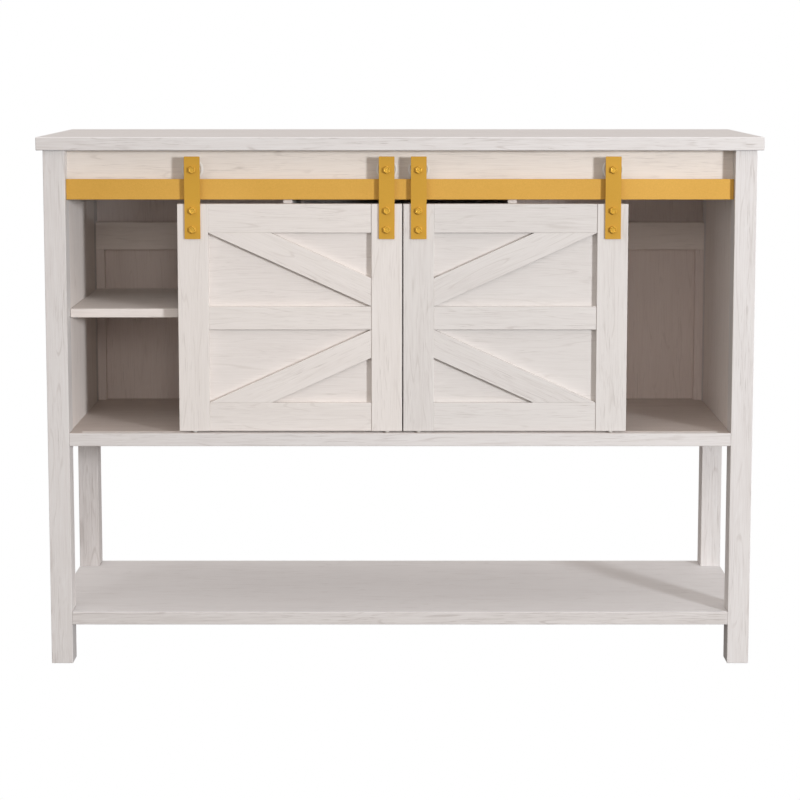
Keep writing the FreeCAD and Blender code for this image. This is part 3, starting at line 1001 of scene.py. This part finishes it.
@dataclass
class Doors:
    """Two framed doors, each with a recessed panel, a middle rail and two slanted braces."""

    slot: str = "whitewashed_board"
    ease: float = 0.0008
    overlay_ease: float = 0.0006
    panel_ease: float = 0.0004

    def hand_over(self, piece: Stock, side: Side, part: str, wood: WoodFoil, grain: Grain,
                  slope: float = 0.0) -> None:
        """Wrap a piece of a door in foil and fit it in its place."""
        node = f"{side.word}_door_{part}"
        piece.rename(f"{node}_board").foil(wood, grain, slope).fit(f"{side.word}_door", [node], self.slot)

    def pair(self, left: str, right: str, grain: Grain, grooved: bool) -> None:
        """Make a piece of the left door and copy it to its like in the right door.

        Args:
            left: the part of the left door.
            right: the part of the right door that has the same shape.
            grain: way of the grain.
            grooved: whether it holds the panel in a groove.
        """
        low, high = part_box(f"left_door_{left}")
        first = Stock.block("member", low, high)
        if grooved:
            first.carve_box(*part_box("left_door_panel"))
        first.ease(self.panel_ease if left == "panel" else self.ease)
        second = first.copy(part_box(f"right_door_{right}")[0] - low)
        woods = PANEL_WOODS if left == "panel" else DOOR_WOODS
        self.hand_over(first, Side.LEFT, left, woods[Side.LEFT], grain)
        self.hand_over(second, Side.RIGHT, right, woods[Side.RIGHT], grain)

    def brace(self, side: Side, part: str) -> None:
        """Make one slanted brace, sawn to the slope between the rails and the meeting stile.

        Args:
            side: the door.
            part: upper_brace or lower_brace.
        """
        node = f"{side.word}_door_{part}"
        low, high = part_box(node)
        piece = Stock.block("brace", low, high)
        upward = 1 if part == "upper_brace" else -1
        meeting_x, corner_x = (low.x, high.x) if side is Side.RIGHT else (high.x, low.x)
        near_z, far_z = (low.z, high.z) if upward > 0 else (high.z, low.z)
        meeting = Vector((meeting_x, low.y, near_z))
        run = Vector((corner_x, low.y, far_z)) - meeting
        across = Vector((-run.z, 0.0, run.x)).normalized()
        if across.z * upward < 0:
            across.negate()
        piece.trim(meeting, -across)
        piece.trim(meeting + across * self.brace_width(node, across), across)
        slope = math.atan2(run.z, run.x) if run.x > 0 else math.atan2(-run.z, -run.x)
        self.hand_over(piece.ease(self.overlay_ease), side, part, DOOR_WOODS[side], Grain.LENGTH, slope)

    @staticmethod
    def brace_width(node: str, across: Vector) -> float:
        """Width of a brace, measured on its node's own mesh along a direction square to it."""
        reaches = [corner.co.dot(across) for corner in bpy.data.objects[node].data.vertices]
        return max(reaches) - min(reaches)

    def build(self) -> None:
        """Make the doors' wooden pieces."""
        self.pair("outer_stile", "meeting_stile", Grain.UPRIGHT, grooved=True)
        self.pair("meeting_stile", "outer_stile", Grain.UPRIGHT, grooved=True)
        self.pair("top_rail", "top_rail", Grain.LENGTH, grooved=True)
        self.pair("bottom_rail", "bottom_rail", Grain.LENGTH, grooved=True)
        self.pair("middle_rail", "middle_rail", Grain.LENGTH, grooved=False)
        self.pair("panel", "panel", Grain.LENGTH, grooved=False)
        for side in Side:
            for part in ("upper_brace", "lower_brace"):
                self.brace(side, part)


@dataclass
class Hangers:
    """Straps, screws, axles, rollers and floor guides, made at one strap and copied to the others."""

    ease: float = 0.0004
    strap_corner: float = 0.0012
    hole_gap: float = 0.0002
    drill_length: float = 0.02
    screw_radius: float = 0.0025
    shank_chamfer: float = 0.2
    head_height: float = 0.0045
    head_flats: float = 0.011
    head_chamfer: float = 0.0007
    head_chamfer_width: float = 0.0008
    head_rim: float = 0.0007
    head_dish: float = 0.0010
    head_dish_slope: float = 0.0008
    head_dish_floor: float = 0.0008
    head_ease: float = 0.00018
    washer_face: float = 0.0004
    washer_face_share: float = 0.48
    axle_radius: float = 0.004
    washer_radius: float = 0.008
    washer_sides: int = 40
    nut_flats: float = 0.013
    tread_radius: float = 0.0155
    groove_width: float = 0.0056
    wheel_sides: int = 64
    wheel_rim: float = 0.0028
    wheel_hollow_slope: float = 0.0008
    wheel_hollow: float = 0.0052
    wheel_hollow_depth: float = 0.0012
    wheel_hub_slope: float = 0.0006
    bore_radius: float = 0.00405
    bore_length: float = 0.03
    guide_radius: float = 0.003
    guide_tip: float = 0.0010
    guide_flange: float = 0.0015
    places: tuple[str, str] = ("meeting", "outer")

    def middle(self, part: str) -> Vector:
        """Middle of the box of a part of the left door."""
        low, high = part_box(f"left_door_{part}")
        return (low + high) / 2

    def step(self, side: Side, place: str) -> Vector:
        """Step from the left door's outer strap, where all is modelled, to another strap."""
        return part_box(f"{side.word}_door_{place}_strap")[0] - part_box("left_door_outer_strap")[0]

    def spread(self, model: Stock, part: str, slot: str, finish: bpy.types.Material) -> None:
        """Copy a fitting to both straps of each door, one piece for each door.

        Args:
            model: the fitting at the first strap, thrown away at the end.
            part: the part that it stands for.
            slot: material slot.
            finish: its material.
        """
        for side in Side:
            made = [model.copy(self.step(side, place)) for place in self.places]
            piece = made[0].join(made[1:]).rename(f"{side.word}_door_{part}_set").coat(finish)
            piece.fit(f"{side.word}_door", [f"{side.word}_door_{part}"], slot)
        model.discard()

    def repeat(self, model: Stock, part: str, form: str, slot: str, turns: bool) -> None:
        """Copy a part to all four straps, one piece for each node.

        Args:
            model: the part at the first strap, thrown away at the end.
            part: last word of its nodes' names.
            form: what its pieces are called after their nodes.
            slot: material slot.
            turns: whether each piece is a body of its own and not fixed to its door.
        """
        for side in Side:
            for place in self.places:
                node = f"{side.word}_door_{place}_{part}"
                piece = model.copy(self.step(side, place)).rename(f"{node}_{form}")
                piece.fit(node if turns else f"{side.word}_door", [node], slot)
        model.discard()

    def hex_head(self, centre: Vector) -> Stock:
        """Make a hexagonal head with a chamfered rim, a dished middle and a washer face.

        Args:
            centre: middle of the face that it lies on.

        Returns:
            The head.
        """
        tall = self.head_height - self.washer_face - self.head_chamfer
        middle = centre - Vector((0.0, self.washer_face + tall / 2, 0.0))
        head = Stock.bar("head", middle, self.head_flats / math.sqrt(3), tall, Axis.Y, HEXAGON)
        head.choose_faces(lambda _centre, normal: normal.y < -STRAIGHT)
        bpy.ops.mesh.inset(thickness=self.head_chamfer_width)
        bpy.ops.transform.translate(value=(0.0, -self.head_chamfer, 0.0))
        bpy.ops.mesh.inset(thickness=self.head_rim)
        bpy.ops.mesh.inset(thickness=self.head_dish_slope)
        bpy.ops.transform.translate(value=(0.0, self.head_dish, 0.0))
        bpy.ops.mesh.inset(thickness=self.head_dish_floor)
        head.ease(self.head_ease, 2)
        face = Stock.bar("face", centre - Vector((0.0, self.washer_face / 2, 0.0)),
                         self.head_flats * self.washer_face_share, self.washer_face, Axis.Y)
        return head.join([face])

    def hole(self, centre: Vector, radius: float) -> Stock:
        """Make a drill for a shank of one radius, with a little play."""
        return Stock.bar("drill", centre, radius + self.hole_gap, self.drill_length, Axis.Y)

    def pin(self, centre: Vector, radius: float, back_y: float) -> Stock:
        """Make a round shank from a point backwards, with a chamfered end.

        Args:
            centre: middle of its front end.
            radius: its radius.
            back_y: where it ends.

        Returns:
            The shank.
        """
        length = back_y - centre.y
        shank = Stock.bar("shank", centre + Vector((0.0, length / 2, 0.0)), radius, length, Axis.Y)
        shank.choose_faces(lambda _centre, normal: normal.y > STRAIGHT)
        bpy.ops.mesh.bevel(offset=radius * self.shank_chamfer, segments=2, affect="EDGES")
        return shank.smooth()

    def fixings(self) -> list[Vector]:
        """Find where the first strap is fixed.

        Returns:
            Middles of its two screws, then of its axle, on the strap's face.
        """
        strap_low, _strap_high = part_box("left_door_outer_strap")
        low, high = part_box("left_door_strap_screws")
        corner = self.head_flats / math.sqrt(3)
        x = self.middle("outer_strap").x
        heights = (low.z + corner, high.z - corner, self.middle("axle_bolts").z)
        return [Vector((x, strap_low.y, z)) for z in heights]

    def bolts(self) -> None:
        """Make the strap screws and the axle bolts."""
        *screw_places, axle_place = self.fixings()
        back = {part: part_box(f"left_door_{part}")[1].y for part in ("strap_screws", "axle_bolts")}
        head = self.hex_head(axle_place)
        screw = head.copy(screw_places[0] - axle_place)
        screw.join([self.pin(screw_places[0], self.screw_radius, back["strap_screws"])])
        screw.join([screw.copy(screw_places[1] - screw_places[0])])
        self.spread(screw, "strap_screws", "gold_metal", BOLT_GOLD.material())
        axle = head.join([self.pin(axle_place, self.axle_radius, back["axle_bolts"])])
        self.spread(axle, "axle_bolts", "gold_metal", BOLT_GOLD.material())

    def straps(self) -> None:
        """Make the straps with eased corners and three holes each."""
        low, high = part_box("left_door_outer_strap")
        plate = Stock.block("strap", low, high).round_corners(Axis.Y, self.strap_corner)
        radii = (self.screw_radius, self.screw_radius, self.axle_radius)
        plate.carve([self.hole(place, radius) for place, radius in zip(self.fixings(), radii)])
        plate.ease(self.ease, 2).coat(STRAP_GOLD.material())
        self.repeat(plate, "strap", "plate", "gold_metal", turns=False)

    def ring(self, part: str, sides: int, radius: float, slot: str, finish: bpy.types.Material) -> None:
        """Make the washers or the nuts of the axles.

        Args:
            part: the part's name.
            sides: number of sides.
            radius: radius to the corners.
            slot: material slot.
            finish: its material.
        """
        low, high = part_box(f"left_door_{part}")
        centre = self.fixings()[2]
        centre.y = (low.y + high.y) / 2
        ring = Stock.bar("ring", centre, radius, high.y - low.y, Axis.Y, sides=sides)
        ring.carve([self.hole(centre, self.axle_radius)])
        self.spread(ring.ease(self.ease, 2), part, slot, finish)

    def rollers(self) -> None:
        """Make the grooved rollers with a raised hub."""
        low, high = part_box("left_door_outer_roller")
        centre = (low + high) / 2
        rim, half = (high.x - low.x) / 2, self.groove_width / 2
        wheel = Stock.bar("roller", centre, rim, high.y - low.y, Axis.Y, sides=self.wheel_sides)
        for edge in (-half, half):
            wheel.score(centre + Vector((0.0, edge, 0.0)), Vector((0.0, 1.0, 0.0)))
        wheel.choose_faces(
            lambda middle, normal: abs(normal.y) < 1 - STRAIGHT and abs(middle.y - centre.y) < half
        )
        bpy.ops.mesh.extrude_region_shrink_fatten(
            TRANSFORM_OT_shrink_fatten={"value": self.tread_radius - rim}
        )
        wheel.choose_faces(
            lambda middle, normal: abs(normal.y) > STRAIGHT and abs(middle.y - centre.y) > half + FLAT
        )
        for width, rise in ((self.wheel_rim, 0.0), (self.wheel_hollow_slope, -self.wheel_hollow_depth),
                            (self.wheel_hollow, 0.0), (self.wheel_hub_slope, self.wheel_hollow_depth)):
            bpy.ops.mesh.inset(thickness=width, depth=rise, use_individual=True)
        wheel.carve([Stock.bar("drill", centre, self.bore_radius, self.bore_length, Axis.Y,
                               self.wheel_sides)])
        wheel.ease(self.ease, 2).coat(NYLON.material())
        self.repeat(wheel, "roller", "wheel", "roller_plastic", turns=True)

    def guides(self) -> None:
        """Make the floor guide pins."""
        low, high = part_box("left_door_guide_pins")
        x, y = self.middle("outer_stile").x, (low.y + high.y) / 2
        pin = Stock.bar("guide", Vector((x, y, (low.z + high.z) / 2)), self.guide_radius, high.z - low.z,
                        Axis.Z)
        pin.ease(self.guide_tip, 4)
        under_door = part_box("left_door_bottom_rail")[0].z
        disc = Stock.bar("flange", Vector((x, y, under_door - self.guide_flange / 2)),
                         (high.y - low.y) / 2, self.guide_flange, Axis.Z)
        self.spread(pin.join([disc.ease(self.ease, 2)]), "guide_pins", "roller_plastic", NYLON.material())

    def build(self) -> None:
        """Make every metal and plastic part of both doors."""
        self.straps()
        self.rollers()
        self.bolts()
        gold, zinc = BOLT_GOLD.material(), ZINC.material()
        self.ring("axle_washers", self.washer_sides, self.washer_radius, "gold_metal", gold)
        self.ring("axle_nuts", HEXAGON, self.nut_flats / math.sqrt(3), "zinc_steel", zinc)
        self.guides()


@dataclass
class HiddenJoinery:
    """Fasteners between and behind the boards, which keep the frame's own meshes."""

    finishes: dict[str, Moulded] = field(default_factory=lambda: {
        "wood_dowels": BEECH,
        "cam_bolts": ZINC,
        "cam_locks": ZINC,
        "back_panel_nails": ZINC,
        "track_screws": ZINC,
        "track_spacers": ZINC,
        "shelf_pins": ZINC,
    })

    def build(self, nodes: dict[str, bpy.types.Object]) -> None:
        """Dress each hidden node.

        Args:
            nodes: the frame's nodes by name.
        """
        for name, finish in self.finishes.items():
            mesh = nodes[name].data
            mesh.materials.clear()
            mesh.materials.append(finish.material())
            LOG.info("%s: dressed", name)


@dataclass(frozen=True)
class Lamp:
    """A round soft lamp, placed by its direction from the middle of the piece; azimuth 0 is the front."""

    name: str
    azimuth: float
    elevation: float
    distance: float
    size: float
    power: float
    tint: Colour = (1.0, 1.0, 1.0)

    def direction(self) -> Vector:
        """Unit vector from the piece towards the lamp."""
        turn, rise = math.radians(self.azimuth), math.radians(self.elevation)
        return Vector((math.sin(turn) * math.cos(rise), -math.cos(turn) * math.cos(rise), math.sin(rise)))


@dataclass
class Studio:
    """Floor, backdrop, lights and camera."""

    camera_place: tuple[float, float, float] = (0.0, -3.80, 1.020)
    camera_tilt: float = 6.54
    lens: float = 98.3
    shift: float = -0.115
    clip: Range = (0.1, 100.0)
    target: tuple[float, float, float] = (0.0, 0.0, 0.5)
    lamps: tuple[Lamp, ...] = (
        Lamp("key_light", azimuth=38.5, elevation=8.0, distance=5.4, size=0.62, power=164.0,
             tint=(0.985, 1.0, 1.03)),
        Lamp("front_light", azimuth=2.0, elevation=15.0, distance=4.2, size=0.8, power=13.0,
             tint=(1.0, 0.93, 0.87)),
        Lamp("left_light", azimuth=-35.0, elevation=12.0, distance=4.2, size=1.2, power=12.0),
    )
    sky: tuple[float, float, float] = (0.10, 0.36, 0.72)
    sky_tint: Colour = (1.0, 0.92, 0.87)
    sky_levels: Range = (-0.25, 0.35)
    sky_softness: float = 0.04
    floor_size: float = 60.0
    dome_radius: float = 29.0

    def camera(self) -> None:
        """Place the camera in front of the piece, a little above it."""
        data = bpy.data.cameras.new("camera")
        data.lens, data.shift_y = self.lens, self.shift
        data.clip_start, data.clip_end = self.clip
        camera = bpy.data.objects.new("camera", data)
        camera.location = self.camera_place
        camera.rotation_euler = (math.pi / 2 - math.radians(self.camera_tilt), 0.0, 0.0)
        bpy.context.scene.collection.objects.link(camera)
        bpy.context.scene.camera = camera

    def hang(self, lamp: Lamp) -> None:
        """Hang a soft round lamp that shines at the middle of the piece.

        Args:
            lamp: the lamp.
        """
        data = bpy.data.lights.new(lamp.name, "AREA")
        data.shape, data.size, data.energy = "DISK", lamp.size, lamp.power
        data.color = lamp.tint
        light = bpy.data.objects.new(lamp.name, data)
        away = lamp.direction()
        light.location = Vector(self.target) + away * lamp.distance
        light.rotation_euler = away.to_track_quat("Z", "Y").to_euler()
        bpy.context.scene.collection.objects.link(light)

    def sky_light(self) -> None:
        """Light the whole room softly, most from above and least from below."""
        world = bpy.data.worlds.new("studio")
        world.use_nodes = True
        nodes, links = world.node_tree.nodes, world.node_tree.links
        nodes.clear()
        background = nodes.new("ShaderNodeBackground")
        links.new(background.outputs[0], nodes.new("ShaderNodeOutputWorld").inputs[0])
        split = nodes.new("ShaderNodeSeparateXYZ")
        links.new(nodes.new("ShaderNodeTexCoord").outputs["Generated"], split.inputs[0])
        height = nodes.new("ShaderNodeMapRange")
        height.inputs["From Min"].default_value = -1.0
        links.new(split.outputs["Z"], height.inputs["Value"])
        ramp = nodes.new("ShaderNodeValToRGB")
        links.new(height.outputs[0], ramp.inputs[0])
        stops = ramp.color_ramp.elements
        for place in (0.5, 0.75):
            stops.new(place)
        soft = self.sky_softness
        lower, upper = ((level + 1) / 2 for level in self.sky_levels)
        below, level, above = self.sky
        places = (lower - soft, lower + soft, upper - soft, upper + soft)
        for stop, place, value in zip(stops, places, (below, level, level, above)):
            stop.position = place
            stop.color = (*(value * part for part in self.sky_tint), 1.0)
        links.new(ramp.outputs[0], background.inputs[0])
        bpy.context.scene.world = world

    @staticmethod
    def glow(name: str) -> bpy.types.Material:
        """Mix a plain white that shines by itself.

        Args:
            name: name of the material.

        Returns:
            The material.
        """
        recipe = Recipe(name)
        recipe.fill(recipe.surface, Base_Color=(0.0, 0.0, 0.0, 1.0), Specular_IOR_Level=0.0,
                    Roughness=1.0, Emission_Color=(1.0, 1.0, 1.0, 1.0), Emission_Strength=1.0)
        return recipe.material

    def set_stage(self) -> None:
        """Lay a pale floor and put a white dome round it, seen by the camera alone."""
        Stock.clear()
        bpy.ops.mesh.primitive_plane_add(size=self.floor_size)
        floor = Stock.adopt("studio_floor").coat(self.glow("studio_floor")).obj
        Stock.clear()
        bpy.ops.mesh.primitive_uv_sphere_add(segments=64, ring_count=32, radius=self.dome_radius)
        dome = Stock.adopt("studio_dome").coat(self.glow("studio_dome")).obj
        for stage in (floor, dome):
            stage.visible_diffuse = stage.visible_glossy = stage.visible_transmission = False
            stage.visible_shadow = False

    def build(self) -> None:
        """Set up the whole studio."""
        scene = bpy.context.scene
        scene.view_settings.view_transform = "Standard"
        self.camera()
        for lamp in self.lamps:
            self.hang(lamp)
        self.sky_light()
        self.set_stage()


def main() -> None:
    """Load the frame, build every sub-assembly in order and set up the studio."""
    logging.basicConfig(level=logging.INFO, format="%(name)s %(message)s")
    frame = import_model()
    Carcass().build()
    Track().build()
    Doors().build()
    Hangers().build()
    HiddenJoinery().build(frame["nodes"])
    Studio().build()


if __name__ == "__main__":
    main()
